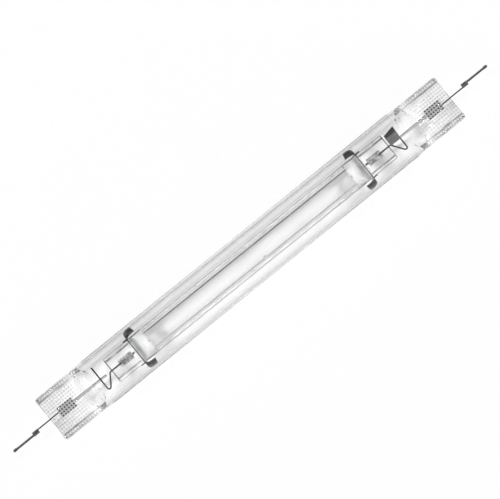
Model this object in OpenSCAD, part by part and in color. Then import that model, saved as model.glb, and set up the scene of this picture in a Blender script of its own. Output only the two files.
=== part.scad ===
// Double-ended metal halide lamp: a quartz arc tube held inside a sealed quartz jacket.
// X runs along the lamp axis, with the getter at the +X end.
// Y runs across the flat pinches and +Z faces out of their broad faces.
// The origin is at the middle of the lamp, on its axis. Lengths along X are half lengths from there.

/* [Jacket] */
// Outer diameter of the jacket tube
jacket_d = 33; // [30:0.5:40]
// Wall of the jacket tube
jacket_wall = 2.1; // [1.5:0.1:2.6]
// Half length of the straight tube
jacket_body_x = 121; // [119:0.5:140]
// Length of the pressed shoulder between tube and pinch
jacket_shoulder_l = 14.5; // [13:0.5:18]
// Length over which the hollow rounds off, seen on the flat of the pinch
jacket_dome_l = 10.5; // [8:0.1:12]
// Quartz between the end of the hollow and the flat of the pinch
jacket_dome_cover = 0.7; // [0.5:0.1:2]
// Length of the flat pinch, beyond the shoulder
jacket_pinch_l = 23.5; // [21:0.5:28]
// Width of the jacket pinch
jacket_pinch_w = 32; // [29:0.5:32.5]
// Corners cut off the ends of the jacket pinch
jacket_corner = 1.4; // [0.5:0.1:2.5]
// Thickness of the rails along the edges of the jacket pinch
jacket_rail_t = 12; // [8:0.5:14]
// Width of each rail
jacket_rail_w = 3.3; // [2:0.1:5]
// Thickness of the web between the rails
jacket_web_t = 5; // [4:0.1:6.5]

/* [Arc tube] */
// Outer diameter of the arc tube
arc_d = 18.2; // [17:0.1:19]
// Bore of the arc tube
arc_bore_d = 11.2; // [9:0.1:12]
// Half length of the straight bore
arc_bore_x = 81; // [80:0.5:82]
// Length of the domed end of the bore
arc_dome_l = 7; // [5:0.5:7.5]
// Half length of the straight outside
arc_body_x = 83; // [82:0.5:84]
// Length of the pressed shoulder between arc tube and pinch
arc_shoulder_l = 7.4; // [6.5:0.1:8]
// Length of the arc tube's pinch
arc_pinch_l = 20.2; // [18:0.1:21]
// Width of the arc tube's pinch
arc_pinch_w = 18; // [16:0.1:18.1]
// Corners cut off the ends of that pinch
arc_corner = 0.7; // [0.4:0.1:1.5]
// Thickness of the rails of that pinch
arc_rail_t = 6; // [5:0.1:7]
// Width of those rails
arc_rail_w = 2.2; // [1.5:0.1:3]
// Thickness of the web between them
arc_web_t = 4.6; // [4.3:0.1:5]
// Diameter of the exhaust tip on the side of the arc tube
tip_d = 2.4; // [1.5:0.1:4]
// Height of the exhaust tip
tip_h = 1.4; // [0.8:0.1:2]
// Place of the exhaust tip along the axis
tip_x = 7.9; // [-40:0.1:40]
// Turn of the exhaust tip about the axis, from +Z towards -Y
tip_turn = 33; // [0:1:90]

/* [Electrodes and foils] */
// Diameter of the tungsten electrode rod
electrode_d = 1.2; // [0.8:0.1:1.6]
// Half distance between the electrode tips
electrode_tip_x = 80; // [76:0.5:83]
// Wire of the electrode's winding
coil_wire_d = 0.6; // [0.4:0.05:0.8]
// Number of turns of the winding
coil_turns = 7; // [4:1:9]
// Bare length of rod in front of the winding
coil_setback = 0.8; // [0.4:0.1:1.5]
// Thickness of the molybdenum foils
foil_t = 0.1; // [0.05:0.01:0.2]
// Width of the foil in the arc tube's pinch
arc_foil_w = 5; // [3:0.5:7]
// Length of the foil in the arc tube's pinch
arc_foil_l = 10; // [8:0.5:12]
// Distance from the shoulder to that foil
arc_foil_setback = 3.6; // [2:0.1:5]
// Width of the foil in the jacket pinch
jacket_foil_w = 7; // [5:0.5:10]
// Length of the foil in the jacket pinch
jacket_foil_l = 11.8; // [10:0.1:12.5]
// Distance from that foil to the outer end of the pinch
jacket_foil_cover = 6.8; // [6:0.1:8]
// Overlap of each rod or wire on its foil
weld_l = 2; // [1:0.1:3]

/* [Leads] */
// Wire of the bent lead between arc tube and support rod
lead_d = 1; // [0.6:0.1:1.3]
// Slope of the bent lead as it leaves the pinch, in degrees
lead_slope = 55; // [45:1:70]
// Depth of the bend below the axis
lead_drop = 8; // [6:0.1:10]
// Height of the straight leg above the axis, at the left end
lead_rise = 9.4; // [7:0.1:11]
// Height of the leg that carries the getter flag
getter_leg_rise = 8.2; // [6:0.1:8.5]
// Radius of the bend at the pinch
lead_entry_r = 1.2; // [1.1:0.1:2.5]
// Radius of the bend at the bottom
lead_bottom_r = 1.2; // [0.9:0.1:1.6]
// Diameter of the support rod
rod_d = 1.8; // [1.2:0.1:2.4]
// Length of support rod inboard of the straight leg
rod_overhang = 4.6; // [2:0.1:6]
// Thin wire that leaves the jacket pinch
outer_wire_d = 0.8; // [0.5:0.1:1.2]
// Offset of the thin wire from the axis
outer_wire_y = 0.5; // [0:0.1:1]
// Bare length of thin wire between pinch and crimp
outer_wire_l = 10; // [6:0.1:14]
// Length of the crimp sleeve
crimp_l = 4.3; // [3:0.1:6]
// Wall of the crimp sleeve
crimp_wall = 0.25; // [0.15:0.05:0.4]
// Diameter of the stranded contact lead
contact_d = 1.5; // [1.2:0.1:2]
// Amount by which the crimp squeezes the contact lead
contact_squeeze = 0.1; // [0.05:0.05:0.3]
// Length of contact lead beyond the crimp
contact_l = 16.1; // [12:0.1:30]
// Diameter of its fused tip
contact_tip_d = 1.9; // [1.9:0.1:2.6]
// Length of its fused tip
contact_tip_l = 3; // [2.5:0.1:5]

/* [Clips and getter] */
// Thickness of the spring clips
clip_t = 0.4; // [0.3:0.05:0.5]
// Radius of the clip's plate
clip_r = 12.4; // [11:0.1:13]
// Height of the clip plate across the pinch faces
clip_h = 16; // [15:0.5:17]
// Width of each spring leaf
leaf_w = 5; // [3.5:0.1:5.5]
// Length of each spring leaf along the arc tube, up to where it bears on the jacket
leaf_l = 4.5; // [3.5:0.5:7]
// Turn of each spring leaf about the lamp axis, away from the flat of the pinch
leaf_turn = 28; // [20:1:30]
// Length of the tabs that grip the pinch edges
clip_tab_l = 3.6; // [2:0.1:5]
// Width of those tabs
clip_tab_w = 5; // [3:0.5:6]
// Thickness of the getter flag
getter_t = 0.3; // [0.2:0.05:0.5]
// Length of the getter flag along the axis
getter_l = 8; // [6:0.1:8.2]
// Flat part of the flag, from its lower edge to the fold
getter_flat_w = 5; // [3:0.1:6]
// Flat part of the flag below the axis
getter_below = 0.6; // [0:0.1:2]
// Folded part of the flag, along its slope, at the deep end
getter_fold_w = 5.5; // [3:0.1:6]
// Amount by which the folded part is shorter at its inboard end
getter_taper = 2.1; // [0:0.1:3]
// Slope of the folded part, in degrees
getter_slope = 45; // [20:1:60]

/* [Hidden] */
$fn = 48;

// Steps in each pressed shoulder and each bend of a lead, sides of a lead, and the ends as the sign of X
shoulder_steps = 16;
lead_bend_steps = 8;
lead_sides = 16;
leaf_angles = [0:10:110];
left = -1;
right = 1;
// Room round the metal that is sealed in the quartz, and between a clip and the glass
seal_gap = 0.02;
clip_gap = 0.05;
// Flat that each turn of a winding has where it bears on the rod
coil_bite = 0.02;
// Metal of the crimp between the two wires that it holds
crimp_nip = 0.1;
// Extra length that makes a cut run past a face
past = 1;

// Places along the axis
jacket_pinch_x = jacket_body_x + jacket_shoulder_l;
jacket_end_x = jacket_pinch_x + jacket_pinch_l;
arc_pinch_x = arc_body_x + arc_shoulder_l;
arc_end_x = arc_pinch_x + arc_pinch_l;
arc_foil_x = arc_pinch_x + arc_foil_setback;
arc_foil_end_x = arc_foil_x + arc_foil_l;
jacket_foil_end_x = jacket_end_x - jacket_foil_cover;
jacket_foil_x = jacket_foil_end_x - jacket_foil_l;
crimp_x = jacket_end_x + outer_wire_l;
crimp_end_x = crimp_x + crimp_l;
contact_end_x = crimp_end_x + contact_l;

// Heights: each foil lies on its rod, and the bent lead lies across the support rod
arc_foil_z = (electrode_d + foil_t) / 2;
lead_z = arc_foil_z + (foil_t + lead_d) / 2;
rod_z = lead_z - (lead_d + rod_d) / 2;
jacket_foil_z = rod_z + (rod_d + foil_t) / 2;
outer_wire_z = jacket_foil_z - (foil_t + outer_wire_d) / 2;
getter_z = lead_z + lead_d / 2;

// Centres and corners of the bent lead, in its own plane
lead_entry_x = arc_end_x + lead_d / 2;
lead_slope_top_x = lead_entry_x + lead_entry_r * sin(lead_slope);
lead_slope_top_y = -lead_entry_r * (1 - cos(lead_slope));
lead_slope_end_y = -lead_drop + lead_bottom_r * (1 - cos(lead_slope));
lead_slope_l = (lead_slope_top_y - lead_slope_end_y) / sin(lead_slope);
lead_slope_end_x = lead_slope_top_x + lead_slope_l * cos(lead_slope);
lead_bottom_x = lead_slope_end_x + lead_bottom_r * sin(lead_slope);
leg_x = lead_bottom_x + lead_bottom_r;
rod_x = leg_x - rod_overhang;

// Spring leaf: it bends off the clip's plate and ends on the jacket wall
clip_x = arc_pinch_x + clip_gap;
clip_slot_y = arc_pinch_w / 2 + clip_gap;
clip_slot_z = arc_rail_t / 2 + clip_gap;
leaf_reach = sqrt(pow(jacket_d / 2 - jacket_wall, 2) - pow(leaf_w / 2, 2)) - clip_gap;
leaf_root_r = clip_r - clip_t / 2;
leaf_rise = leaf_reach - clip_t / 2 - leaf_root_r;

// Height of a pressed shoulder, a share t of the way from tube to pinch
function shoulder_z(t, tube_z, pinch_z) = pinch_z + (tube_z - pinch_z) * (1 + cos(180 * t)) / 2;

// Side outline of a tube that is pressed flat at both ends
function pressed_quarter(body_x, pinch_x, end_x, tube_z, pinch_z) = [
    for (i = [0:shoulder_steps])
        [
            body_x + (pinch_x - body_x) * i / shoulder_steps,
            shoulder_z(i / shoulder_steps, tube_z, pinch_z)
        ],
    [end_x, pinch_z]
];

// The same outline moved inwards by the wall, for the hollow
function inset_quarter(body_x, pinch_x, end_x, tube_z, pinch_z, wall) = [
    for (i = [0:shoulder_steps])
        let (
            t = i / shoulder_steps,
            fall = (tube_z - pinch_z) * 90 * PI / 180 * sin(180 * t) / (pinch_x - body_x),
            slope = atan(fall)
        )
            [
                body_x + (pinch_x - body_x) * t - wall * sin(slope),
                shoulder_z(t, tube_z, pinch_z) - wall * cos(slope)
            ],
    [end_x, pinch_z - wall]
];

// The outline with the corner at its end cut off
function cut_corner(quarter, cut) =
    let (last = len(quarter) - 1, end = quarter[last])
        concat(
            [for (i = [0:last - 1]) quarter[i]],
            [[end[0] - cut, end[1]], [end[0], end[1] - cut]]
        );
function backwards(points) = [for (i = [len(points) - 1:-1:0]) points[i]];
function signed(points, sign_x, sign_z) = [for (p = points) [sign_x * p[0], sign_z * p[1]]];
function pressed_outline(quarter) = concat(
    quarter,
    backwards(signed(quarter, 1, -1)),
    signed(quarter, -1, -1),
    backwards(signed(quarter, -1, 1))
);

module at_end(side) {
    if (side == right) children();
    else mirror([1, 0, 0]) children();
}

module x_rod(d, from_x, to_x, y = 0, z = 0) {
    translate([from_x, y, z])
        rotate([0, 90, 0])
            cylinder(d = d, h = to_x - from_x);
}

module x_slab(width, thickness, from_x, to_x, y = 0, z = 0) {
    translate([from_x, y - width / 2, z - thickness / 2])
        cube([to_x - from_x, width, thickness]);
}

// Stands a side outline, drawn in X and Z, on its own plane and gives it a width in Y
module across(width, y = 0) {
    translate([0, y + width / 2, 0])
        rotate([90, 0, 0])
            linear_extrude(width)
                children();
}

// A quartz tube whose ends are pressed into an I section: a thin web between two rails
module pressed_tube(d, body_x, pinch_x, end_x, pinch_w, corner, rail_w, rail_t, web_t) {
    rail_reach = d / 2 - (pinch_w / 2 - rail_w);
    rail_y = d / 2 - rail_reach / 2;
    intersection() {
        x_rod(d, -end_x, end_x);
        translate([0, 0, -d / 2])
            linear_extrude(d)
                polygon(pressed_outline(cut_corner(
                    pressed_quarter(body_x, pinch_x, end_x, d / 2, pinch_w / 2), corner)));
        union() {
            across(d)
                polygon(pressed_outline(pressed_quarter(body_x, pinch_x, end_x, d / 2, web_t / 2)));
            for (y = [-rail_y, rail_y])
                across(rail_reach, y)
                    polygon(pressed_outline(pressed_quarter(body_x, pinch_x, end_x, d / 2, rail_t / 2)));
        }
    }
}

// A round hollow with a dome at each end
module domed_hollow(d, straight_x, dome_l) {
    steps = shoulder_steps;
    rotate([0, 90, 0])
        rotate_extrude()
            polygon(concat(
                [for (i = [0:steps]) [d / 2 * sin(90 * i / steps), -straight_x - dome_l * cos(90 * i / steps)]],
                [for (i = [steps:-1:0]) [d / 2 * sin(90 * i / steps), straight_x + dome_l * cos(90 * i / steps)]]
            ));
}

// Metal that is sealed in one jacket pinch, enlarged by the gap, at the +X end
module jacket_seal(gap) {
    x_rod(rod_d + 2 * gap, rod_x, jacket_foil_x + weld_l + gap, 0, rod_z);
    x_slab(jacket_foil_w + 2 * gap, foil_t + 2 * gap, jacket_foil_x - gap, jacket_foil_end_x + gap,
        0, jacket_foil_z);
}

module outer_wire_seal(gap, side) {
    x_rod(outer_wire_d + 2 * gap, jacket_foil_end_x - weld_l - gap, jacket_end_x + past,
        -side * outer_wire_y, outer_wire_z);
}

// Metal that is sealed in one pinch of the arc tube, enlarged by the gap, at the +X end
module arc_seal(gap) {
    x_rod(electrode_d + 2 * gap, electrode_tip_x, arc_foil_x + weld_l + gap);
    x_slab(arc_foil_w + 2 * gap, foil_t + 2 * gap, arc_foil_x - gap, arc_foil_end_x + gap, 0, arc_foil_z);
    x_rod(lead_d + 2 * gap, arc_foil_end_x - weld_l - gap, arc_end_x + past, 0, lead_z);
}

// The hollow keeps the wall's thickness down the shoulders and rounds off at the pinches
module jacket_hollow() {
    bore_d = jacket_d - 2 * jacket_wall;
    tip_x = jacket_pinch_x - jacket_dome_cover;
    intersection() {
        domed_hollow(bore_d, tip_x - jacket_dome_l, jacket_dome_l);
        across(jacket_d)
            polygon(pressed_outline(inset_quarter(jacket_body_x, jacket_pinch_x, jacket_pinch_x + past,
                jacket_d / 2, jacket_web_t / 2, jacket_wall)));
    }
}

module jacket() {
    color("lightsteelblue", 0.3)
        difference() {
            pressed_tube(jacket_d, jacket_body_x, jacket_pinch_x, jacket_end_x,
                jacket_pinch_w, jacket_corner, jacket_rail_w, jacket_rail_t, jacket_web_t);
            jacket_hollow();
            for (side = [left, right])
                at_end(side) {
                    jacket_seal(seal_gap);
                    outer_wire_seal(seal_gap, side);
                }
        }
}

// The exhaust tip is the closed stub of the tube through which the arc tube was filled
module exhaust_tip() {
    root = arc_d / 2 - tip_h;
    rotate([tip_turn, 0, 0])
        translate([tip_x, 0, root])
            cylinder(d1 = tip_d, d2 = tip_d / 3, h = 2 * tip_h);
}

module arc_tube() {
    color("ghostwhite", 0.5)
        difference() {
            union() {
                pressed_tube(arc_d, arc_body_x, arc_pinch_x, arc_end_x,
                    arc_pinch_w, arc_corner, arc_rail_w, arc_rail_t, arc_web_t);
                exhaust_tip();
            }
            domed_hollow(arc_bore_d, arc_bore_x, arc_dome_l);
            for (side = [left, right])
                at_end(side) arc_seal(seal_gap);
        }
}

module electrode(side) {
    color("dimgray")
        at_end(side) x_rod(electrode_d, electrode_tip_x, arc_foil_x + weld_l);
}

// The winding is drawn as close rings, each a little nearer than its wire is thick
module electrode_coil(side) {
    pitch = coil_wire_d * 0.9;
    start_x = electrode_tip_x + coil_setback + coil_wire_d / 2;
    color("gray")
        at_end(side)
            rotate([0, 90, 0])
                rotate_extrude()
                    difference() {
                        for (turn = [0:coil_turns - 1])
                            translate([(electrode_d + coil_wire_d) / 2, start_x + turn * pitch])
                                circle(d = coil_wire_d, $fn = 24);
                        translate([0, start_x - coil_wire_d])
                            square([electrode_d / 2 + coil_bite, coil_turns * pitch + 2 * coil_wire_d]);
                    }
}

module arc_foil(side) {
    color("darkgray")
        at_end(side) x_slab(arc_foil_w, foil_t, arc_foil_x, arc_foil_end_x, 0, arc_foil_z);
}

// Stations along a round bend of the lead: place and heading, for a turn to the right or left
function bend_stations(centre_x, centre_y, radius, from, to) = [
    for (i = [0:lead_bend_steps])
        let (a = from + (to - from) * i / lead_bend_steps)
            [centre_x + radius * cos(a), centre_y + radius * sin(a), a + (to > from ? 90 : -90)]
];

// Round section of the lead at one station, square to its heading
function wire_ring(station) = [
    for (i = [0:lead_sides - 1])
        let (a = 360 * i / lead_sides, out = lead_d / 2 * cos(a), up = lead_d / 2 * sin(a))
            [station[0] - out * sin(station[2]), station[1] + out * cos(station[2]), lead_z + up]
];

module bent_wire(stations) {
    n = lead_sides;
    last = (len(stations) - 1) * n;
    polyhedron(
        points = [for (station = stations) each wire_ring(station)],
        faces = concat(
            [[for (i = [0:n - 1]) i]],
            [for (k = [0:n:last - n], i = [0:n - 1])
                [k + i, k + n + i, k + n + (i + 1) % n, k + (i + 1) % n]],
            [[for (i = [n - 1:-1:0]) last + i]]
        )
    );
}

module arc_lead(side) {
    color("slategray")
        at_end(side)
            bent_wire(concat(
                [[arc_foil_end_x - weld_l, 0, 0]],
                bend_stations(lead_entry_x, -lead_entry_r, lead_entry_r, 90, 90 - lead_slope),
                bend_stations(lead_bottom_x, lead_bottom_r - lead_drop, lead_bottom_r, -90 - lead_slope, 0),
                [[leg_x, side == left ? lead_rise : getter_leg_rise, 90]]
            ));
}

// Place and outward normal on a leaf's middle line, which is part of an ellipse in X and radius
function leaf_place(a) = [clip_x + clip_t / 2 - leaf_l * (1 - cos(a)), leaf_root_r + leaf_rise * sin(a)];
function leaf_normal(a) =
    let (n = [leaf_rise * cos(a), leaf_l * sin(a)])
        n / norm(n);
function leaf_edge(offset, angles) = [for (a = angles) leaf_place(a) + offset * leaf_normal(a)];

module leaf() {
    translate([0, 0, -leaf_w / 2])
        linear_extrude(leaf_w)
            polygon(concat(
                leaf_edge(clip_t / 2, leaf_angles),
                backwards(leaf_edge(-clip_t / 2, leaf_angles))
            ));
}

// One folded sheet: a slotted plate round the root of the pinch, with four leaves and two tabs
module clip(side) {
    color("silver")
        at_end(side) {
            difference() {
                intersection() {
                    x_rod(2 * clip_r, clip_x, clip_x + clip_t);
                    x_slab(2 * clip_r, clip_h, clip_x, clip_x + clip_t);
                }
                x_slab(2 * clip_slot_y, 2 * clip_slot_z, clip_x - past, clip_x + clip_t + past);
            }
            for (turn = [-leaf_turn, leaf_turn, 180 - leaf_turn, 180 + leaf_turn])
                rotate([turn, 0, 0]) leaf();
            for (edge = [-1, 1])
                x_slab(clip_t, clip_tab_w, clip_x, clip_x + clip_tab_l, edge * (clip_slot_y + clip_t / 2));
        }
}

module support_rod(side) {
    color("gainsboro")
        at_end(side) x_rod(rod_d, rod_x, jacket_foil_x + weld_l, 0, rod_z);
}

module jacket_foil(side) {
    color("darkgray")
        at_end(side) x_slab(jacket_foil_w, foil_t, jacket_foil_x, jacket_foil_end_x, 0, jacket_foil_z);
}

module outer_wire(side) {
    color("gainsboro")
        at_end(side)
            x_rod(outer_wire_d, jacket_foil_end_x - weld_l, crimp_end_x, -side * outer_wire_y, outer_wire_z);
}

// The contact lead lies beside the thin wire inside the crimp, with the crimp pressed in between
function contact_y(side) = side * ((outer_wire_d + contact_d) / 2 + crimp_nip - outer_wire_y);

module crimp(side) {
    thin_y = -side * outer_wire_y;
    thick_y = contact_y(side);
    squeezed_d = contact_d - contact_squeeze;
    shell_d = contact_d + 2 * crimp_wall;
    color("lightgray")
        at_end(side)
            difference() {
                union() {
                    x_rod(shell_d, crimp_x, crimp_end_x, thick_y, outer_wire_z);
                    x_rod(outer_wire_d + 2 * crimp_wall, crimp_x, crimp_end_x, thin_y, outer_wire_z);
                    x_slab(abs(thick_y - thin_y), outer_wire_d + 2 * crimp_wall, crimp_x, crimp_end_x,
                        (thick_y + thin_y) / 2, outer_wire_z);
                }
                x_rod(squeezed_d, crimp_x - past, crimp_end_x + past, thick_y, outer_wire_z);
                x_rod(outer_wire_d, crimp_x - past, crimp_end_x + past, thin_y, outer_wire_z);
            }
}

module contact_lead(side) {
    y = contact_y(side);
    round_r = contact_tip_d / 2;
    color("gainsboro")
        at_end(side) {
            x_rod(contact_d - contact_squeeze, crimp_x, crimp_end_x, y, outer_wire_z);
            x_rod(contact_d, crimp_end_x, contact_end_x - round_r, y, outer_wire_z);
            x_rod(contact_tip_d, contact_end_x - contact_tip_l, contact_end_x - round_r, y, outer_wire_z);
            translate([contact_end_x - round_r, y, outer_wire_z]) sphere(d = contact_tip_d);
        }
}

// A folded flag of getter metal, flat on the bent lead's leg and sloping up beyond its fold
module getter_flag() {
    out_x = leg_x + lead_d / 2;
    fold_y = getter_flat_w - getter_below;
    color("dimgray") {
        x_slab(getter_flat_w, getter_t, out_x - getter_l, out_x,
            fold_y - getter_flat_w / 2, getter_z + getter_t / 2);
        translate([out_x - getter_l, fold_y, getter_z])
            rotate([getter_slope, 0, 0])
                linear_extrude(getter_t)
                    polygon([
                        [0, 0],
                        [getter_l, 0],
                        [getter_l, getter_fold_w],
                        [0, getter_fold_w - getter_taper]
                    ]);
    }
}

jacket();
arc_tube();
electrode(left);  // left_electrode
electrode(right);  // right_electrode
electrode_coil(left);  // left_electrode_coil
electrode_coil(right);  // right_electrode_coil
arc_foil(left);  // left_arc_foil
arc_foil(right);  // right_arc_foil
arc_lead(left);  // left_arc_lead
arc_lead(right);  // right_arc_lead
clip(left);  // left_clip
clip(right);  // right_clip
support_rod(left);  // left_support_rod
support_rod(right);  // right_support_rod
jacket_foil(left);  // left_jacket_foil
jacket_foil(right);  // right_jacket_foil
outer_wire(left);  // left_outer_wire
outer_wire(right);  // right_outer_wire
crimp(left);  // left_crimp
crimp(right);  // right_crimp
contact_lead(left);  // left_contact_lead
contact_lead(right);  // right_contact_lead
getter_flag();
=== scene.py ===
# %% [markdown]
# # A double-ended metal halide lamp in Blender
# The CAD model gives every piece its true size and place. This file gives the lamp its looks:
# clear quartz that bends what lies behind it, pressed waffle faces, stranded leads and bright metal.
# Each step says what the piece is on the real lamp, how it could be made, and why it is made this way.

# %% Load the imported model
import math

import bpy
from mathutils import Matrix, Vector, noise


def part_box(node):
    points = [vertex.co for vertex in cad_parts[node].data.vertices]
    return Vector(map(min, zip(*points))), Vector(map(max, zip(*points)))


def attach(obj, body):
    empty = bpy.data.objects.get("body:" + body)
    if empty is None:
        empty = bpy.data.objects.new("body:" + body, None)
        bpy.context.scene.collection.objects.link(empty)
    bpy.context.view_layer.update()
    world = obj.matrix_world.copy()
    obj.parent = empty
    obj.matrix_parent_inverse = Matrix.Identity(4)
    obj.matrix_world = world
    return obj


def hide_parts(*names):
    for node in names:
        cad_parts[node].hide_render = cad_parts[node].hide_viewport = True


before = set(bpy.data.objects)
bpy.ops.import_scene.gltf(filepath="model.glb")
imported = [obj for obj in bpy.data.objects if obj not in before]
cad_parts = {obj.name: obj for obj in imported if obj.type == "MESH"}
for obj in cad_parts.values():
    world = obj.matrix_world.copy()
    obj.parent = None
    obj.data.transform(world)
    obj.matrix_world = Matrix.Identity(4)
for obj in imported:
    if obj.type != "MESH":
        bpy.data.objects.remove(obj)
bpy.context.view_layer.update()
MM = 0.001
BODY = "root"
ENDS = {"left": -1, "right": 1}

# %% [markdown]
# ## Colours
# Colours are picked as sRGB hex values, as a paint program shows them. Blender's shaders work with
# linear light, so one function turns the first into the second.


# %% Colour helper
def linear(hex_colour, alpha=1.0):
    parts = [int(hex_colour[i : i + 2], 16) / 255 for i in (1, 3, 5)]
    bent = [c / 12.92 if c <= 0.04045 else ((c + 0.055) / 1.055) ** 2.4 for c in parts]
    return (*bent, alpha)


# %% [markdown]
# ## The camera
# The photograph looks straight down on the flat pinches through a long lens, and the lamp runs from
# lower left to upper right. A long lens far away gives the same flat look without an orthographic
# camera, so that views from other sides keep some depth. The lamp stays level in its own frame and
# the camera is rolled.

# %% Camera straight above, rolled
FRAME_W, FRAME_H = 500, 499
LAMP_CENTRE_PX = (250.25, 258.6)
PIXEL = 0.62 * MM
ROLL = math.radians(39.0)
LENS, SENSOR = 200.0, 36.0

right_way = Vector((math.cos(ROLL), -math.sin(ROLL), 0))
up_way = Vector((math.sin(ROLL), math.cos(ROLL), 0))
aim = right_way * (FRAME_W / 2 - LAMP_CENTRE_PX[0]) * PIXEL + up_way * (LAMP_CENTRE_PX[1] - FRAME_H / 2) * PIXEL
distance = FRAME_W * PIXEL * LENS / SENSOR

bpy.ops.object.camera_add(location=aim + Vector((0, 0, distance)), rotation=(0, 0, -ROLL))
camera = bpy.context.object
camera.name = "camera"
camera.data.lens = LENS
camera.data.sensor_width = SENSOR
camera.data.clip_end = 20
bpy.context.scene.camera = camera
print("camera height", round(distance, 3))

# %% [markdown]
# ## Helpers for modelling
# An operator works on everything that is selected, so each step starts by clearing the selection.
# A new primitive is given its size and place, and its transform is then applied, so that its object
# sits at the origin and its place is in its mesh.


# %% Selection and placing
def clear_selection():
    if bpy.context.object and bpy.context.object.mode != "OBJECT":
        bpy.ops.object.mode_set(mode="OBJECT")
    bpy.ops.object.select_all(action="DESELECT")


def settle(name):
    piece = bpy.context.object
    piece.name = piece.data.name = name
    bpy.ops.object.transform_apply(location=True, rotation=True, scale=True)
    return piece


def make_active(piece):
    clear_selection()
    piece.select_set(True)
    bpy.context.view_layer.objects.active = piece


def select_points(piece, rule):
    """Selects the mesh's points that the rule takes, and the edges and faces between them."""
    make_active(piece)
    mesh = piece.data
    taken = [bool(rule(v.co)) for v in mesh.vertices]
    mesh.vertices.foreach_set("select", taken)
    mesh.edges.foreach_set("select", [all(taken[i] for i in e.vertices) for e in mesh.edges])
    mesh.polygons.foreach_set("select", [all(taken[i] for i in p.vertices) for p in mesh.polygons])
    bpy.ops.object.mode_set(mode="EDIT")


def object_mode():
    bpy.ops.object.mode_set(mode="OBJECT")


# %% [markdown]
# Round pieces along the lamp's axis start as a cylinder. Their ends are then grown ring by ring, as
# a glass worker draws a tube: each extrude adds a ring at a place along X, and a resize gives that
# ring its radius.


# %% A bar along the axis, and its grown ends
def add_bar(name, radius, from_x, to_x, sides=32, y=0.0, z=0.0):
    clear_selection()
    bpy.ops.mesh.primitive_cylinder_add(
        vertices=sides,
        radius=radius,
        depth=to_x - from_x,
        location=((from_x + to_x) / 2, y, z),
        rotation=(0, math.pi / 2, 0),
    )
    return settle(name)


def grow_end(piece, sign, rings, y=0.0, z=0.0, point=False):
    """Extrudes the end on that side through rings, a list of places along X and radii."""
    reach = max(sign * v.co.x for v in piece.data.vertices)
    last_x = sign * reach
    last_r = max(math.hypot(v.co.y - y, v.co.z - z) for v in piece.data.vertices if sign * v.co.x > reach - 1e-6)
    select_points(piece, lambda co: sign * co.x > reach - 1e-6)
    for x, radius in rings:
        bpy.ops.mesh.extrude_region_move(TRANSFORM_OT_translate={"value": (x - last_x, 0, 0)})
        if radius != last_r:
            share = radius / last_r
            bpy.ops.transform.resize(value=(1, share, share), center_override=(x, y, z))
        last_x, last_r = x, radius
    if point:
        bpy.ops.mesh.merge(type="CENTER")
    object_mode()


def smooth(piece, degrees=40):
    make_active(piece)
    bpy.ops.object.shade_smooth_by_angle(angle=math.radians(degrees))


# %% [markdown]
# ## Quartz tubes that are pressed flat at both ends
# The maker heats the end of a quartz tube until it is soft and closes two jaws on it. The jaws leave
# a thin web between two thick rails, a sloping shoulder up to the round tube, and a waffle of small
# squares from the pattern cut into them. A boolean could cut such a section, but the shoulder would
# then have hard edges. Here the round tube is grown first and its points are moved as the jaws move
# the quartz, so that the wall flows from round to flat.

# %% The sizes of both tubes: their radius and end from the imported nodes, the rest given here
jacket_low, jacket_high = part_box("jacket")
arc_low, arc_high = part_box("arc_tube")
JACKET = {
    "radius": jacket_high[2],
    "bore": jacket_high[2] - 2.1 * MM,
    "bore_x": 124.3 * MM,
    "dome": 10.5 * MM,
    "body_x": 121 * MM,
    "pinch_x": 135.5 * MM,
    "bow": 6 * MM,
    "end_x": jacket_high[0],
    "pinch": 16 * MM,
    "corner": 1.8 * MM,
    "round": 0.9 * MM,
    "rail_w": 3.3 * MM,
    "rail": 6 * MM,
    "web": 2.5 * MM,
    "waffle": 1.95 * MM,
    "depth": 0.34 * MM,
    "sides": 256,
}
ARC = {
    "radius": arc_high[1],
    "bore": 5.6 * MM,
    "bore_x": 81 * MM,
    "dome": 7 * MM,
    "body_x": 83 * MM,
    "pinch_x": 90.4 * MM,
    "bow": 0,
    "end_x": arc_high[0],
    "pinch": 9 * MM,
    "corner": 0.9 * MM,
    "round": 0.8 * MM,
    "rail_w": 2.2 * MM,
    "rail": 3 * MM,
    "web": 2.3 * MM,
    "waffle": 1.6 * MM,
    "depth": 0.22 * MM,
    "sides": 160,
}
RING_STEP = 0.4 * MM
print("jacket radius", JACKET["radius"], "arc tube radius", ARC["radius"])


# %% How the jaws move a point of the tube
def ease(t):
    t = min(max(t, 0.0), 1.0)
    return (1 - math.cos(math.pi * t)) / 2


def closing_at(x, y, tube):
    """How far the jaws have closed, from 0 on the round tube to 1 on the pinch. The jaws' edge is bowed."""
    bowed = abs(x) + tube["bow"] * min(abs(y) / tube["radius"], 1) ** 2
    early = tube["body_x"] + tube["bow"] * min(abs(y) / tube["radius"], 1) ** 2 * 0.3
    return ease((bowed - early) / (tube["pinch_x"] - early))


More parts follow.
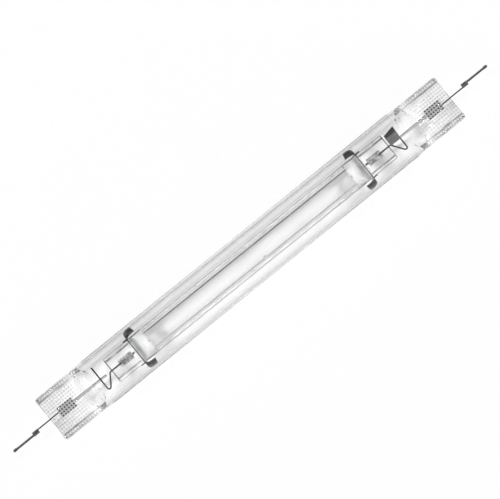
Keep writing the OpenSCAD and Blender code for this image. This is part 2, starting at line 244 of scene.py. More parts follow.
def pressed(co, tube):
    """Where a point of the round tube lies once the jaws have closed."""
    closing = closing_at(co.x, co.y, tube)
    if closing == 0 or abs(co.x) <= tube["body_x"]:
        return co.copy()
    y = co.y * (1 - closing * (1 - tube["pinch"] / tube["radius"]))
    into_corner = abs(co.x) - (tube["end_x"] - tube["corner"])
    if into_corner > 0:
        reach = tube["pinch"] - tube["corner"] + math.sqrt(max(tube["corner"] ** 2 - into_corner**2, 0))
        y = math.copysign(min(abs(y), reach), y)
    rail_from = tube["pinch"] - tube["rail_w"]
    on_rail = ease((abs(y) - rail_from) / (0.8 * MM) + 0.5)
    gap = tube["web"] + (tube["rail"] - tube["web"]) * on_rail
    gap = tube["radius"] + (gap - tube["radius"]) * closing
    z = min(abs(co.z), gap)
    if z == gap:
        z -= tube["depth"] * closing * waffle(co.x, y, tube["waffle"])
        z += 0.12 * MM * closing * noise.noise(Vector((co.x, y, co.z)) * 260)
    into_end = abs(co.x) - (tube["end_x"] - tube["round"])
    if into_end > 0:
        z = max(z - tube["round"] + math.sqrt(max(tube["round"] ** 2 - into_end**2, 0)), 0)
    return Vector((co.x, y, math.copysign(z, co.z)))


def pressed_hollow(co, tube):
    """Where a point of the hollow lies: the wall keeps its thickness down the shoulder."""
    if abs(co.x) <= tube["body_x"]:
        return co.copy()
    closing = closing_at(co.x, co.y, tube)
    roof = tube["radius"] + (tube["web"] - tube["radius"]) * closing
    z = min(abs(co.z), max(roof - (tube["radius"] - tube["bore"]), 0.2 * MM))
    return Vector((co.x, co.y, math.copysign(z, co.z)))


def waffle(x, y, pitch):
    """Depth of the pressed squares, from 0 on the ribs to 1 in the middle of a square."""
    across_x = math.sin(math.pi * x / pitch) ** 2
    across_y = math.sin(math.pi * y / pitch) ** 2
    return across_x * across_y


# %% Grow, press and hollow a tube
def quartz_tube(name, tube):
    outside = add_bar(name, tube["radius"], -tube["body_x"], tube["body_x"], tube["sides"])
    steps = round((tube["end_x"] - tube["body_x"]) / RING_STEP)
    step = (tube["end_x"] - tube["body_x"]) / steps
    for sign in (-1, 1):
        rings = [(sign * (tube["body_x"] + step * i), tube["radius"]) for i in range(1, steps + 1)]
        grow_end(outside, sign, rings)
    for v in outside.data.vertices:
        v.co = pressed(v.co, tube)
    neck = min(tube["bore_x"], tube["body_x"])
    hollow = add_bar(name + "_hollow", tube["bore"], -neck, neck, 128)
    for sign in (-1, 1):
        necks = round((tube["bore_x"] - neck) / RING_STEP)
        rings = [(sign * (neck + RING_STEP * i), tube["bore"]) for i in range(1, necks + 1)]
        for i in range(1, 17):
            turn = math.radians(88) * i / 16
            rings.append((sign * (tube["bore_x"] + tube["dome"] * math.sin(turn)), tube["bore"] * math.cos(turn)))
        grow_end(hollow, sign, rings, point=True)
    if neck < tube["bore_x"]:
        for v in hollow.data.vertices:
            v.co = pressed_hollow(v.co, tube)
    select_points(hollow, lambda co: True)
    bpy.ops.mesh.flip_normals()
    object_mode()
    make_active(outside)
    hollow.select_set(True)
    bpy.ops.object.join()
    smooth(outside)
    print(name, len(outside.data.polygons), "faces")
    return outside


jacket = quartz_tube("jacket_glass", JACKET)
arc_tube = quartz_tube("arc_tube_glass", ARC)

# %% [markdown]
# The arc tube is filled and pumped through a thin side tube, which is then melted off. What is left
# is a small rounded stub on its wall.

# %% Exhaust tip
TIP_X = 7.9 * MM
TIP_R = 1.2 * MM
TIP_TURN = math.radians(33)
tip_reach = ARC["radius"] + 0.3 * MM

clear_selection()
bpy.ops.mesh.primitive_uv_sphere_add(
    segments=24,
    ring_count=12,
    radius=TIP_R,
    location=(TIP_X, -tip_reach * math.sin(TIP_TURN), tip_reach * math.cos(TIP_TURN)),
)
tip = settle("exhaust_tip")
make_active(arc_tube)
melt = arc_tube.modifiers.new("melted_on", "BOOLEAN")
melt.operation = "UNION"
melt.solver = "EXACT"
melt.object = tip
bpy.ops.object.modifier_apply(modifier=melt.name)
make_active(tip)
bpy.ops.object.delete()
smooth(arc_tube)

# %% [markdown]
# ## Leads, rods and foils
# The bent lead starts as a straight bar. A spin carries its end face round each bend, as a wire is
# bent round a former, and an extrude draws the straight stretches between them.

# %% Bent lead
low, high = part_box("right_arc_lead")
LEAD_R = 0.5 * MM
LEAD_Z = (low[2] + high[2]) / 2
LEAD_ENTRY_X = arc_high[0] + LEAD_R
LEAD_SLOPE = math.radians(55)
LEAD_DROP = 8 * MM
ENTRY_R, BOTTOM_R = 1.2 * MM, 1.2 * MM
slope_top_x = LEAD_ENTRY_X + ENTRY_R * math.sin(LEAD_SLOPE)
slope_top_y = -ENTRY_R * (1 - math.cos(LEAD_SLOPE))
slope_end_y = -LEAD_DROP + BOTTOM_R * (1 - math.cos(LEAD_SLOPE))
slope_length = (slope_top_y - slope_end_y) / math.sin(LEAD_SLOPE)
slope_end_x = slope_top_x + slope_length * math.cos(LEAD_SLOPE)
bottom_x = slope_end_x + BOTTOM_R * math.sin(LEAD_SLOPE)


def bend_end(centre, degrees, steps):
    """Carries the selected end face round a centre. A positive turn is clockwise, seen from above."""
    bpy.ops.mesh.spin(steps=steps, angle=math.radians(degrees), center=centre, axis=(0, 0, 1))


def draw_end(x, y):
    bpy.ops.mesh.extrude_region_move(TRANSFORM_OT_translate={"value": (x, y, 0)})


def mirrored(piece, name):
    """A copy at the other end of the lamp, with its own mesh."""
    make_active(piece)
    bpy.ops.object.duplicate()
    bpy.ops.transform.resize(value=(-1, 1, 1), center_override=(0, 0, 0))
    twin = settle(name)
    select_points(twin, lambda co: True)
    bpy.ops.mesh.normals_make_consistent(inside=False)
    object_mode()
    return twin


def bent_lead(name, top_y):
    piece = add_bar(name, LEAD_R, low[0], LEAD_ENTRY_X, 24, z=LEAD_Z)
    select_points(piece, lambda co: co.x > LEAD_ENTRY_X - 1e-6)
    bend_end((LEAD_ENTRY_X, -ENTRY_R, LEAD_Z), 55, 10)
    draw_end(slope_length * math.cos(LEAD_SLOPE), -slope_length * math.sin(LEAD_SLOPE))
    bend_end((bottom_x, BOTTOM_R - LEAD_DROP, LEAD_Z), -145, 24)
    draw_end(0, top_y - (BOTTOM_R - LEAD_DROP) - 0.15 * MM)
    draw_end(0, 0.15 * MM)
    bpy.ops.transform.resize(value=(0.75, 1, 0.75), center_override=(high[0] - LEAD_R, top_y, LEAD_Z))
    object_mode()
    smooth(piece)
    return piece


right_lead = bent_lead("right_bent_lead", high[1])
left_low, left_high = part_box("left_arc_lead")
left_form = bent_lead("left_form", left_high[1])
left_lead = mirrored(left_form, "left_bent_lead")
make_active(left_form)
bpy.ops.object.delete()


# %% Support rods and outer wires, with cut ends that are broken by a small chamfer
def chamfered_bar(name, node, sides, chamfer):
    low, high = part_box(node)
    y = (low[1] + high[1]) / 2
    z = (low[2] + high[2]) / 2
    radius = (high[2] - low[2]) / 2
    piece = add_bar(name, radius, low[0] + chamfer, high[0] - chamfer, sides, y=y, z=z)
    for sign, x in ((-1, low[0]), (1, high[0])):
        grow_end(piece, sign, [(x, radius - chamfer)], y=y, z=z)
    smooth(piece)
    return piece


rods = {end: chamfered_bar(f"{end}_rod", f"{end}_support_rod", 40, 0.2 * MM) for end in ENDS}
wires = {end: chamfered_bar(f"{end}_wire", f"{end}_outer_wire", 24, 0.08 * MM) for end in ENDS}


# %% [markdown]
# The jaws also press their pattern into the soft molybdenum foil between them. The foil starts as a
# grid, its points are moved to the waffle's height, and Solidify gives it its thickness.


# %% Foils with the pattern pressed in
FOIL_T = 0.1 * MM


def pressed_foil(name, node, pitch, depth):
    low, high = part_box(node)
    clear_selection()
    bpy.ops.mesh.primitive_grid_add(
        x_subdivisions=round((high[0] - low[0]) / (0.22 * MM)),
        y_subdivisions=round((high[1] - low[1]) / (0.22 * MM)),
        size=1,
        location=[(a + b) / 2 for a, b in zip(low, high)],
    )
    bpy.ops.transform.resize(value=(high[0] - low[0], high[1] - low[1], 1))
    sheet = settle(name)
    for v in sheet.data.vertices:
        v.co.z += depth * (1 - waffle(v.co.x, v.co.y, pitch))
    make_active(sheet)
    wall = sheet.modifiers.new("sheet", "SOLIDIFY")
    wall.thickness = FOIL_T
    wall.offset = 0
    bpy.ops.object.modifier_apply(modifier=wall.name)
    smooth(sheet)
    return sheet


foils = {end: pressed_foil(f"{end}_pressed_foil", f"{end}_jacket_foil", JACKET["waffle"], 0.25 * MM) for end in ENDS}
inner_foils = {end: pressed_foil(f"{end}_inner_foil", f"{end}_arc_foil", ARC["waffle"], 0.15 * MM) for end in ENDS}

# %% [markdown]
# ## Contact leads
# Six strands are laid round a seventh and fused into a bead at the free end. One strand is drawn as a
# helix: each step extrudes its end face along the lamp and turns it about the lead's middle line.

# %% One stranded lead
STRAND_R = 0.26 * MM
LAY = 9 * MM
STRAND_STEPS = 44


def strand(name, from_x, to_x, y, z, offset, phase):
    piece = add_bar(name, STRAND_R, from_x, from_x + 0.05 * MM, 12, y=y + offset * math.cos(phase), z=z + offset * math.sin(phase))
    reach = from_x + 0.05 * MM
    step = (to_x - reach) / STRAND_STEPS
    select_points(piece, lambda co: co.x > reach - 1e-6)
    for _ in range(STRAND_STEPS):
        bpy.ops.mesh.extrude_region_move(TRANSFORM_OT_translate={"value": (step, 0, 0)})
        bpy.ops.transform.rotate(value=2 * math.pi * step / LAY, orient_axis="X", center_override=(0, y, z))
    object_mode()
    return piece


def stranded_lead(name, node):
    low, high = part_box(node)
    y = (low[1] + high[1]) / 2
    z = (low[2] + high[2]) / 2
    tip_r = (high[2] - low[2]) / 2
    lead_r = 0.75 * MM
    tip_from = high[0] - 3 * MM
    offset = lead_r - STRAND_R
    parts = [strand(f"{name}_core", low[0], tip_from + 0.3 * MM, y, z, 0, 0)]
    for i in range(6):
        parts.append(strand(f"{name}_{i}", low[0], tip_from + 0.3 * MM, y, z, offset, math.pi * i / 3))
    bead = add_bar(f"{name}_bead", 0.8 * lead_r, tip_from - 0.3 * MM, tip_from, 32, y=y, z=z)
    rings = [(tip_from + 0.3 * MM, tip_r)]
    for i in range(0, 9):
        turn = math.radians(85) * i / 8
        rings.append((high[0] - tip_r + tip_r * math.sin(turn), tip_r * math.cos(turn)))
    grow_end(bead, 1, rings, y=y, z=z, point=True)
    make_active(bead)
    for part in parts:
        part.select_set(True)
    bpy.ops.object.join()
    bead.name = bead.data.name = name
    smooth(bead)
    return bead


contact = {"right": stranded_lead("right_stranded_lead", "right_contact_lead")}
contact["left"] = mirrored(contact["right"], "left_stranded_lead")
left_shift = sum(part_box("left_contact_lead")[i][1] for i in (0, 1)) / 2 - sum(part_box("right_contact_lead")[i][1] for i in (0, 1)) / 2
make_active(contact["left"])
bpy.ops.transform.translate(value=(0, left_shift, 0))
settle("left_stranded_lead")
smooth(contact["left"])


# %% [markdown]
# ## Folded sheet
# The clips and the getter flag are punched and folded from thin sheet. Their form is in the CAD
# model, and a copy of it gets the small round edges that punching leaves.


# %% Copies with broken edges
def broken_edges(name, node, width):
    clear_selection()
    piece = bpy.data.objects.new(name, bpy.data.objects[node].data.copy())
    bpy.context.collection.objects.link(piece)
    select_points(piece, lambda co: True)
    bpy.ops.mesh.remove_doubles(threshold=0.002 * MM)
    bpy.ops.mesh.dissolve_limited(angle_limit=math.radians(1))
    object_mode()
    edge = piece.modifiers.new("edge", "BEVEL")
    edge.width = width
    edge.segments = 2
    edge.limit_method = "ANGLE"
    edge.angle_limit = math.radians(50)
    bpy.ops.object.modifier_apply(modifier=edge.name)
    smooth(piece, 30)
    return piece


clips = {end: broken_edges(f"{end}_spring_clip", f"{end}_clip", 0.08 * MM) for end in ENDS}
crimps = {end: broken_edges(f"{end}_crimp_sleeve", f"{end}_crimp", 0.06 * MM) for end in ENDS}
flag = broken_edges("getter_sheet", "getter_flag", 0.06 * MM)

# %% [markdown]
# ## Materials
# One small function adds a node with its settings and its links. Each material is then a short
# function named for what the real one is.


# %% Node helper
def add_node(tree, kind, settings=None, links=None):
    node = tree.nodes.new(kind)
    for key, value in (settings or {}).items():
        if isinstance(key, int) or key in node.inputs:
            node.inputs[key].default_value = value
        else:
            setattr(node, key, value)
    for key, source in (links or {}).items():
        tree.links.new(source, node.inputs[key])
    return node


def new_material(name):
    material = bpy.data.materials.new(name)
    material.use_nodes = True
    material.node_tree.nodes.clear()
    return material, material.node_tree


# %% [markdown]
# Fused quartz is clear and almost without colour, with an index of 1.458. Blender's lamps can't
# light what is inside bent glass, so rays that look for a lamp pass straight through it. They lose
# more where they graze the wall, so that a tube throws a shadow with dark edges, as a real one does.


# %% Fused quartz, clear and with white zirconia ends
def let_lamps_through(tree, shader):
    path = add_node(tree, "ShaderNodeLightPath")
    graze = add_node(tree, "ShaderNodeLayerWeight", {"Blend": 0.5})
    loss = add_node(tree, "ShaderNodeValToRGB", None, {"Fac": graze.outputs["Facing"]})
    loss.color_ramp.elements[0].position = 0.72
    loss.color_ramp.elements[0].color = linear("#fcfcfc")
    loss.color_ramp.elements[1].position = 0.96
    loss.color_ramp.elements[1].color = linear("#181818")
    clear = add_node(tree, "ShaderNodeBsdfTransparent", None, {"Color": loss.outputs[0]})
    mix = add_node(tree, "ShaderNodeMixShader", None, {0: path.outputs["Is Shadow Ray"]})
    tree.links.new(shader, mix.inputs[1])
    tree.links.new(clear.outputs[0], mix.inputs[2])
    add_node(tree, "ShaderNodeOutputMaterial", None, {"Surface": mix.outputs[0]})


def painted_edge_shade(tree, where, split, on_pinch, tube, rail_painted_shade, rim_painted_shade, tint):
    """Multiplies a tint by painted shade: grey lines at the pinch's rails, along its rim and at its end, in random
    patches.
    """
    across = add_node(tree, "ShaderNodeMath", {"operation": "ABSOLUTE"}, {0: split.outputs[1]})
    share = add_node(tree, "ShaderNodeMapRange", {"From Max": tube["pinch"]}, {"Value": across.outputs[0]})
    along = add_node(tree, "ShaderNodeMath", {"operation": "ABSOLUTE"}, {0: split.outputs[0]})
    at_end = add_node(
        tree,
        "ShaderNodeMapRange",
        {"From Min": tube["end_x"] - 0.7 * MM, "From Max": tube["end_x"] - 0.65 * MM},
        {"Value": along.outputs[0]},
    )
    rim = add_node(tree, "ShaderNodeMath", {"operation": "MAXIMUM"}, {0: share.outputs[0], 1: at_end.outputs[0]})
    # Painted shade: the ramp darkens a band over each rail and the outermost rim and end of the pinch.
    lines = add_node(tree, "ShaderNodeValToRGB", None, {"Fac": rim.outputs[0]})
    rail = 1 - tube["rail_w"] / tube["pinch"]
    lines.color_ramp.elements[0].position = rail - 0.07
    lines.color_ramp.elements[0].color = linear("#ffffff")
    lines.color_ramp.elements[1].position = 1.0
    lines.color_ramp.elements[1].color = linear(rim_painted_shade)
    lines.color_ramp.elements.new(rail - 0.03).color = linear(rail_painted_shade)
    lines.color_ramp.elements.new(rail + 0.03).color = linear(rail_painted_shade)
    lines.color_ramp.elements.new(rail + 0.07).color = linear("#ffffff")
    lines.color_ramp.elements.new(0.9).color = linear("#ffffff")
    lines.color_ramp.elements.new(0.95).color = linear(rim_painted_shade)
    patches = add_node(tree, "ShaderNodeTexNoise", {"Scale": 160.0, "Detail": 3.0}, {"Vector": where.outputs["Object"]})
    strength = add_node(
        tree, "ShaderNodeMapRange", {"From Min": 0.3, "From Max": 0.6}, {"Value": patches.outputs["Fac"]}
    )
    mask = add_node(
        tree, "ShaderNodeMath", {"operation": "MULTIPLY"}, {0: strength.outputs[0], 1: on_pinch.outputs[0]}
    )
    shaded = add_node(
        tree, "ShaderNodeMix", {"data_type": "RGBA", "blend_type": "MULTIPLY"}, {"Factor": mask.outputs[0]}
    )
    tree.links.new(tint.outputs[0], shaded.inputs[6])
    tree.links.new(lines.outputs[0], shaded.inputs[7])
    return shaded.outputs[2]


def fused_quartz(tube):
    """Clear quartz, with painted shade on its pinches: a faint grey in the pressed squares and grey lines at the rails
    and rim.
    """
    material, tree = new_material("fused_quartz")
    where = add_node(tree, "ShaderNodeTexCoord")
    split = add_node(tree, "ShaderNodeSeparateXYZ", None, {0: where.outputs["Object"]})
    away = add_node(tree, "ShaderNodeMath", {"operation": "ABSOLUTE"}, {0: split.outputs[0]})
    on_pinch = add_node(
        tree,
        "ShaderNodeMapRange",
        {"From Min": tube["pinch_x"] - 3 * MM, "From Max": tube["pinch_x"] + 3 * MM},
        {"Value": away.outputs[0]},
    )
    waves = []
    for axis in (0, 1):
        turn = add_node(
            tree, "ShaderNodeMath", {"operation": "MULTIPLY", 1: math.pi / tube["waffle"]}, {0: split.outputs[axis]}
        )
        wave = add_node(tree, "ShaderNodeMath", {"operation": "SINE"}, {0: turn.outputs[0]})
        waves.append(add_node(tree, "ShaderNodeMath", {"operation": "ABSOLUTE"}, {0: wave.outputs[0]}))
    square = add_node(tree, "ShaderNodeMath", {"operation": "MULTIPLY"}, {0: waves[0].outputs[0], 1: waves[1].outputs[0]})
    cloud = add_node(tree, "ShaderNodeTexNoise", {"Scale": 260.0, "Detail": 5.0}, {"Vector": where.outputs["Object"]})
    mottled = add_node(tree, "ShaderNodeMath", {"operation": "MULTIPLY"}, {0: square.outputs[0], 1: cloud.outputs["Fac"]})
    grey = add_node(tree, "ShaderNodeMath", {"operation": "MULTIPLY"}, {0: mottled.outputs[0], 1: on_pinch.outputs[0]})
    # Painted shade: the pressed squares on the pinch are greyed in the colour, in random patches.
    tint = add_node(tree, "ShaderNodeValToRGB", None, {"Fac": grey.outputs[0]})
    tint.color_ramp.elements[0].position = 0.05
    tint.color_ramp.elements[0].color = linear("#fafafa")
    tint.color_ramp.elements[1].position = 0.55
    tint.color_ramp.elements[1].color = linear("#c4c4c4")
    # Painted shade: grey lines on the jacket's pinch rails and rim.
    colour = painted_edge_shade(tree, where, split, on_pinch, tube, "#8c8c8c", "#808080", tint)
    quartz = add_node(
        tree,
        "ShaderNodeBsdfPrincipled",
        {"Roughness": 0.0, "IOR": 1.458, "Transmission Weight": 1.0},
        {"Base Color": colour},
    )
    let_lamps_through(tree, quartz.outputs[0])
    return material


def coated_quartz(tube, coat_from, coat_to):
    """Quartz with a sprayed white coat that reflects heat, between two distances from the middle, and with painted
    shade: grey lines on the pinch's rails and rim, and dark grey where the wall is seen at a grazing angle.
    """
    material, tree = new_material("coated_quartz")
    where = add_node(tree, "ShaderNodeTexCoord")
    split = add_node(tree, "ShaderNodeSeparateXYZ", None, {0: where.outputs["Object"]})
    away = add_node(tree, "ShaderNodeMath", {"operation": "ABSOLUTE"}, {0: split.outputs[0]})
    speckle = add_node(tree, "ShaderNodeTexNoise", {"Scale": 900.0, "Detail": 3.0}, {"Vector": where.outputs["Object"]})
    ragged = add_node(
        tree,
        "ShaderNodeMath",
        {"operation": "MULTIPLY_ADD", 1: 2.5 * MM, 2: -1.25 * MM},
        {0: speckle.outputs["Fac"]},
    )
    edge = add_node(tree, "ShaderNodeMath", {"operation": "ADD"}, {0: away.outputs[0], 1: ragged.outputs[0]})
    inner = add_node(
        tree,
        "ShaderNodeMapRange",
        {"From Min": coat_from - 1.5 * MM, "From Max": coat_from + 1.5 * MM},
        {"Value": edge.outputs[0]},
    )
    outer = add_node(
        tree,
        "ShaderNodeMapRange",
        {"From Min": coat_to - 0.5 * MM, "From Max": coat_to + 0.5 * MM, "To Min": 1.0, "To Max": 0.0},
        {"Value": edge.outputs[0]},
    )
    coat = add_node(tree, "ShaderNodeMath", {"operation": "MULTIPLY"}, {0: inner.outputs[0], 1: outer.outputs[0]})
    clear = add_node(tree, "ShaderNodeMath", {"operation": "MULTIPLY_ADD", 1: -0.52, 2: 1.0}, {0: coat.outputs[0]})
    tint = add_node(tree, "ShaderNodeValToRGB", None, {"Fac": coat.outputs[0]})
    tint.color_ramp.elements[0].color = linear("#fdfdfd")
    tint.color_ramp.elements[1].color = linear("#f0f0f0")
    on_pinch = add_node(
        tree,
        "ShaderNodeMapRange",
        {"From Min": tube["pinch_x"], "From Max": tube["pinch_x"] + 2 * MM},
        {"Value": away.outputs[0]},
    )
    # Painted shade: dark grey lines on the arc tube's pinch rails and rim.
    painted_lines_tint = painted_edge_shade(tree, where, split, on_pinch, tube, "#505050", "#404040", tint)
    # Painted shade: the colour turns dark grey where the wall is seen at a grazing angle, for the dark edge lines of
    # the glass.
    graze = add_node(tree, "ShaderNodeLayerWeight", {"Blend": 0.5})
    wall = add_node(tree, "ShaderNodeValToRGB", None, {"Fac": graze.outputs["Facing"]})
    wall.color_ramp.elements[0].position = 0.55
    wall.color_ramp.elements[0].color = linear("#ffffff")
    wall.color_ramp.elements[1].position = 0.76
    wall.color_ramp.elements[1].color = linear("#585858")
    painted_dark_edge = add_node(tree, "ShaderNodeMix", {"data_type": "RGBA", "blend_type": "MULTIPLY", "Factor": 1.0})
    tree.links.new(painted_lines_tint, painted_dark_edge.inputs[6])
    tree.links.new(wall.outputs[0], painted_dark_edge.inputs[7])
    colour = painted_dark_edge.outputs[2]
    rough = add_node(tree, "ShaderNodeMath", {"operation": "MULTIPLY", 1: 0.7}, {0: coat.outputs[0]})
    quartz = add_node(
        tree,
        "ShaderNodeBsdfPrincipled",
        {"IOR": 1.458},
        {"Base Color": colour, "Transmission Weight": clear.outputs[0], "Roughness": rough.outputs[0]},
    )
    let_lamps_through(tree, quartz.outputs[0])
    return material


# %% [markdown]
# The metal inside is drawn, rolled or plated. Drawn wire has fine marks along it, so its noise is
# stretched along the lamp; the getter is sheet whose sloping part is painted dark and matt, as painted shade.


# %% Metals
def metal(name, colour, dark, roughness, scale, stretch, bump=0.0):
    material, tree = new_material(name)
    where = add_node(tree, "ShaderNodeTexCoord")
    place = add_node(tree, "ShaderNodeMapping", {"Scale": stretch}, {"Vector": where.outputs["Object"]})
    marks = add_node(tree, "ShaderNodeTexNoise", {"Scale": scale, "Detail": 4.0}, {"Vector": place.outputs[0]})
    ramp = add_node(tree, "ShaderNodeValToRGB", None, {"Fac": marks.outputs["Fac"]})
    ramp.color_ramp.elements[0].position = 0.3
    ramp.color_ramp.elements[0].color = linear(dark)
    ramp.color_ramp.elements[1].position = 0.7
    ramp.color_ramp.elements[1].color = linear(colour)
    rough = add_node(
        tree,
        "ShaderNodeMapRange",
        {"To Min": roughness * 0.7, "To Max": roughness * 1.3},
        {"Value": marks.outputs["Fac"]},
    )
    shader = add_node(
        tree,
        "ShaderNodeBsdfPrincipled",
        {"Metallic": 1.0},
        {"Base Color": ramp.outputs[0], "Roughness": rough.outputs[0]},
    )
    if bump:
        raised = add_node(tree, "ShaderNodeBump", {"Strength": bump, "Distance": 0.0001}, {"Height": marks.outputs["Fac"]})
        tree.links.new(raised.outputs[0], shader.inputs["Normal"])
    add_node(tree, "ShaderNodeOutputMaterial", None, {"Surface": shader.outputs[0]})
    return material


# %% Foil with painted reflections: light ribs and dark squares painted into its colour
def foil_painted_glints(pitch):
    material, tree = new_material("pressed_foil_painted_glints")
    where = add_node(tree, "ShaderNodeTexCoord")
    split = add_node(tree, "ShaderNodeSeparateXYZ", None, {0: where.outputs["Object"]})
    waves = []
    for axis in (0, 1):
        turn = add_node(tree, "ShaderNodeMath", {"operation": "MULTIPLY", 1: math.pi / pitch}, {0: split.outputs[axis]})
        wave = add_node(tree, "ShaderNodeMath", {"operation": "SINE"}, {0: turn.outputs[0]})
        waves.append(add_node(tree, "ShaderNodeMath", {"operation": "ABSOLUTE"}, {0: wave.outputs[0]}))
    square = add_node(tree, "ShaderNodeMath", {"operation": "MULTIPLY"}, {0: waves[0].outputs[0], 1: waves[1].outputs[0]})
    # Painted reflection: the ribs are painted light for the soft boxes they catch, the squares dark for the dark they
    # mirror from above.
    ramp = add_node(tree, "ShaderNodeValToRGB", None, {"Fac": square.outputs[0]})
    ramp.color_ramp.elements[0].position = 0.3
    ramp.color_ramp.elements[0].color = linear("#b4b4b4")
    ramp.color_ramp.elements[1].position = 0.6
    ramp.color_ramp.elements[1].color = linear("#2e2e2e")
    shader = add_node(
        tree,
        "ShaderNodeBsdfPrincipled",
        {"Metallic": 0.6, "Roughness": 0.45},
        {"Base Color": ramp.outputs[0]},
    )
    add_node(tree, "ShaderNodeOutputMaterial", None, {"Surface": shader.outputs[0]})
    return material


# %% Getter flag: bare sheet on its flat part, painted dark shade on the part that slopes up
FOLD_Y = 4.4 * MM


def sheet_painted_dark_slope():
    material, tree = new_material("getter_sheet")
    where = add_node(tree, "ShaderNodeTexCoord")
    split = add_node(tree, "ShaderNodeSeparateXYZ", None, {0: where.outputs["Object"]})
    grain = add_node(tree, "ShaderNodeTexNoise", {"Scale": 2200.0, "Detail": 4.0}, {"Vector": where.outputs["Object"]})
    # Painted shade: the part that slopes up is dark and matt, for the dark that the sloping facet reflects.
    painted_slope_shade = add_node(
        tree,
        "ShaderNodeMapRange",
        {"From Min": FOLD_Y + 0.1 * MM, "From Max": FOLD_Y + 0.5 * MM},
        {"Value": split.outputs[1]},
    )
    bare = add_node(tree, "ShaderNodeValToRGB", None, {"Fac": grain.outputs["Fac"]})
    bare.color_ramp.elements[0].position = 0.3
    bare.color_ramp.elements[0].color = linear("#3c3c3c")
    bare.color_ramp.elements[1].position = 0.7
    bare.color_ramp.elements[1].color = linear("#9a9a9a")
    dark = add_node(tree, "ShaderNodeValToRGB", None, {"Fac": grain.outputs["Fac"]})
    dark.color_ramp.elements[0].color = linear("#1e1e1e")
    dark.color_ramp.elements[1].color = linear("#424242")
    colour = add_node(tree, "ShaderNodeMix", {"data_type": "RGBA"}, {"Factor": painted_slope_shade.outputs[0]})
    tree.links.new(bare.outputs[0], colour.inputs[6])
    tree.links.new(dark.outputs[0], colour.inputs[7])
    metal_share = add_node(tree, "ShaderNodeMath", {"operation": "SUBTRACT", 0: 1.0}, {1: painted_slope_shade.outputs[0]})
    shader = add_node(
        tree,
        "ShaderNodeBsdfPrincipled",
        {"Roughness": 0.4},
        {"Base Color": colour.outputs[2], "Metallic": metal_share.outputs[0]},
    )
    add_node(tree, "ShaderNodeOutputMaterial", None, {"Surface": shader.outputs[0]})
    return material


# %% The materials
ALONG = (0.15, 1.0, 1.0)
EVEN = (1.0, 1.0, 1.0)
QUARTZ = fused_quartz(JACKET)
COATED = coated_quartz(ARC, 81 * MM, 92 * MM)
TUNGSTEN = metal("drawn_tungsten", "#6f7073", "#4d4e50", 0.35, 3000.0, ALONG)
FOIL = metal("molybdenum_foil", "#d8d8d8", "#4c4c4d", 0.4, 700.0, EVEN, 0.2)
GLINT_PAINTED_FOIL = foil_painted_glints(JACKET["waffle"])
LEAD = metal("molybdenum_wire", "#2e2e2f", "#1c1c1d", 0.45, 3000.0, ALONG)
NICKEL = metal("bright_nickel_rod", "#f2f2f2", "#dedede", 0.08, 2500.0, ALONG)
SPRING = metal("rolled_spring_steel", "#2e2e2f", "#1c1c1d", 0.4, 1200.0, EVEN)
GETTER = sheet_painted_dark_slope()
PLATED = metal("plated_contact", "#868685", "#4c4c4b", 0.3, 3000.0, ALONG)


# %% [markdown]
# ## Finishing the carried-over pieces
# The electrodes and their windings have their true shape in the CAD model, so they keep their meshes
# and only get their metal.

# %% Materials on the CAD nodes
NODE_METAL = {"electrode": TUNGSTEN, "electrode_coil": TUNGSTEN}


def dress(node_name, material):
    node = bpy.data.objects[node_name]
    if not node.material_slots:
        node.data.materials.append(material)
    for slot in node.material_slots:
        slot.material = material


for end in ENDS:
    for kind, material in NODE_METAL.items():
        dress(f"{end}_{kind}", material)


# %% The quartz pieces ride on the lamp
def take_place(piece, node_name, material):
    piece.data.materials.clear()
    piece.data.materials.append(material)
    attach(piece, BODY)
    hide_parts(node_name)


take_place(jacket, "jacket", QUARTZ)
take_place(arc_tube, "arc_tube", COATED)
for end, piece in {"left": left_lead, "right": right_lead}.items():
    take_place(piece, f"{end}_arc_lead", LEAD)
for end in ENDS:
    take_place(rods[end], f"{end}_support_rod", NICKEL)
    take_place(wires[end], f"{end}_outer_wire", LEAD)
    take_place(foils[end], f"{end}_jacket_foil", GLINT_PAINTED_FOIL)
    take_place(inner_foils[end], f"{end}_arc_foil", FOIL)
    take_place(contact[end], f"{end}_contact_lead", PLATED)
    take_place(clips[end], f"{end}_clip", SPRING)
    take_place(crimps[end], f"{end}_crimp", PLATED)
take_place(flag, "getter_flag", GETTER)
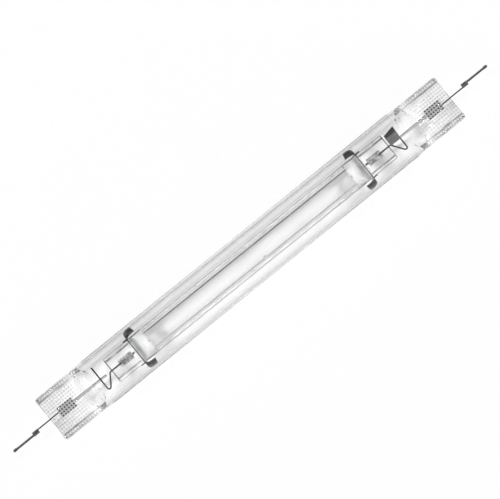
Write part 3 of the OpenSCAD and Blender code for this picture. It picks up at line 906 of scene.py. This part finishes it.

# %% [markdown]
# ## Floor, light and background
# The lamp lies on a plain white sweep. The floor and the world show white to the camera. Through the
# glass and in reflections the floor shows painted shade, a dark band to one side of the lamp, and the
# horizon is darker than the sky, because clear glass is drawn by the dark that its edges bend into view.


# %% White floor
def white_floor_painted_band():
    material, tree = new_material("white_floor_painted_band")
    path = add_node(tree, "ShaderNodeLightPath")
    bent = add_node(
        tree,
        "ShaderNodeMath",
        {"operation": "MAXIMUM"},
        {0: path.outputs["Is Transmission Ray"], 1: path.outputs["Is Glossy Ray"]},
    )
    through = add_node(tree, "ShaderNodeMath", {"operation": "MULTIPLY", 1: 0.1}, {0: bent.outputs[0]})
    share = add_node(
        tree,
        "ShaderNodeMath",
        {"operation": "MULTIPLY_ADD", 1: 0.9},
        {0: path.outputs["Is Camera Ray"], 2: through.outputs[0]},
    )
    where = add_node(tree, "ShaderNodeTexCoord")
    across = add_node(tree, "ShaderNodeSeparateXYZ", None, {0: where.outputs["Object"]})
    far_side = add_node(
        tree,
        "ShaderNodeMapRange",
        {"From Min": -240 * MM, "From Max": 240 * MM},
        {"Value": across.outputs[1]},
    )
    # Painted shade on the floor, seen only through the glass and in reflections: light grey on the -Y side, white near
    # the lamp, a dark band from about 48 to 106 mm out on the +Y side, and light grey beyond.
    shade = add_node(tree, "ShaderNodeValToRGB", None, {"Fac": far_side.outputs[0]})
    shade.color_ramp.elements[0].position = 0.44
    shade.color_ramp.elements[0].color = linear("#d4d4d4")
    shade.color_ramp.elements[1].position = 0.85
    shade.color_ramp.elements[1].color = linear("#e4e4e4")
    shade.color_ramp.elements.new(0.5).color = linear("#f4f4f4")
    shade.color_ramp.elements.new(0.555).color = linear("#f4f4f4")
    shade.color_ramp.elements.new(0.6).color = linear("#303030")
    shade.color_ramp.elements.new(0.72).color = linear("#303030")
    seen = add_node(tree, "ShaderNodeMix", {"data_type": "RGBA"}, {"Factor": bent.outputs[0]})
    seen.inputs[6].default_value = linear("#f4f4f4")
    tree.links.new(shade.outputs[0], seen.inputs[7])
    paint = add_node(tree, "ShaderNodeBsdfDiffuse", None, {"Color": seen.outputs[2]})
    glow = add_node(tree, "ShaderNodeEmission", {"Color": linear("#ffffff"), "Strength": 1.0})
    mix = add_node(tree, "ShaderNodeMixShader", None, {0: share.outputs[0]})
    tree.links.new(paint.outputs[0], mix.inputs[1])
    tree.links.new(glow.outputs[0], mix.inputs[2])
    add_node(tree, "ShaderNodeOutputMaterial", None, {"Surface": mix.outputs[0]})
    return material


clear_selection()
bpy.ops.mesh.primitive_plane_add(size=6, location=(0, 0, jacket_low[2] - 0.1 * MM))
floor = settle("floor")
floor.data.materials.append(white_floor_painted_band())


# %% World
def studio_world():
    world = bpy.data.worlds.new("studio")
    bpy.context.scene.world = world
    world.use_nodes = True
    tree = world.node_tree
    tree.nodes.clear()
    where = add_node(tree, "ShaderNodeTexCoord")
    lit_side = add_node(
        tree,
        "ShaderNodeVectorMath",
        {"operation": "DOT_PRODUCT", 1: (0, -0.6, 0.8)},
        {0: where.outputs["Generated"]},
    )
    sky = add_node(tree, "ShaderNodeValToRGB", None, {"Fac": lit_side.outputs["Value"]})
    sky.color_ramp.elements[0].position = 0.0
    sky.color_ramp.elements[0].color = linear("#202020")
    sky.color_ramp.elements[1].position = 0.45
    sky.color_ramp.elements[1].color = linear("#dedede")
    path = add_node(tree, "ShaderNodeLightPath")
    shown = add_node(
        tree,
        "ShaderNodeMix",
        {"data_type": "RGBA"},
        {"Factor": path.outputs["Is Camera Ray"]},
    )
    tree.links.new(sky.outputs[0], shown.inputs[6])
    shown.inputs[7].default_value = (1, 1, 1, 1)
    back = add_node(tree, "ShaderNodeBackground", None, {"Color": shown.outputs[2]})
    add_node(tree, "ShaderNodeOutputWorld", None, {"Surface": back.outputs[0]})


studio_world()


# %% Soft boxes
def soft_box(name, place, size, power):
    bpy.ops.object.light_add(type="AREA", location=place)
    lamp = bpy.context.object
    lamp.name = name
    lamp.data.size = size
    lamp.data.energy = power
    lamp.rotation_euler = (-Vector(place)).to_track_quat("-Z", "Y").to_euler()


soft_box("key_light", (-0.9, 0.29, 1.0), 0.12, 6)
soft_box("fill_light", (0.9, 0.29, 1.0), 0.12, 6)

# %% Finish
bpy.context.scene.view_settings.view_transform = "Standard"
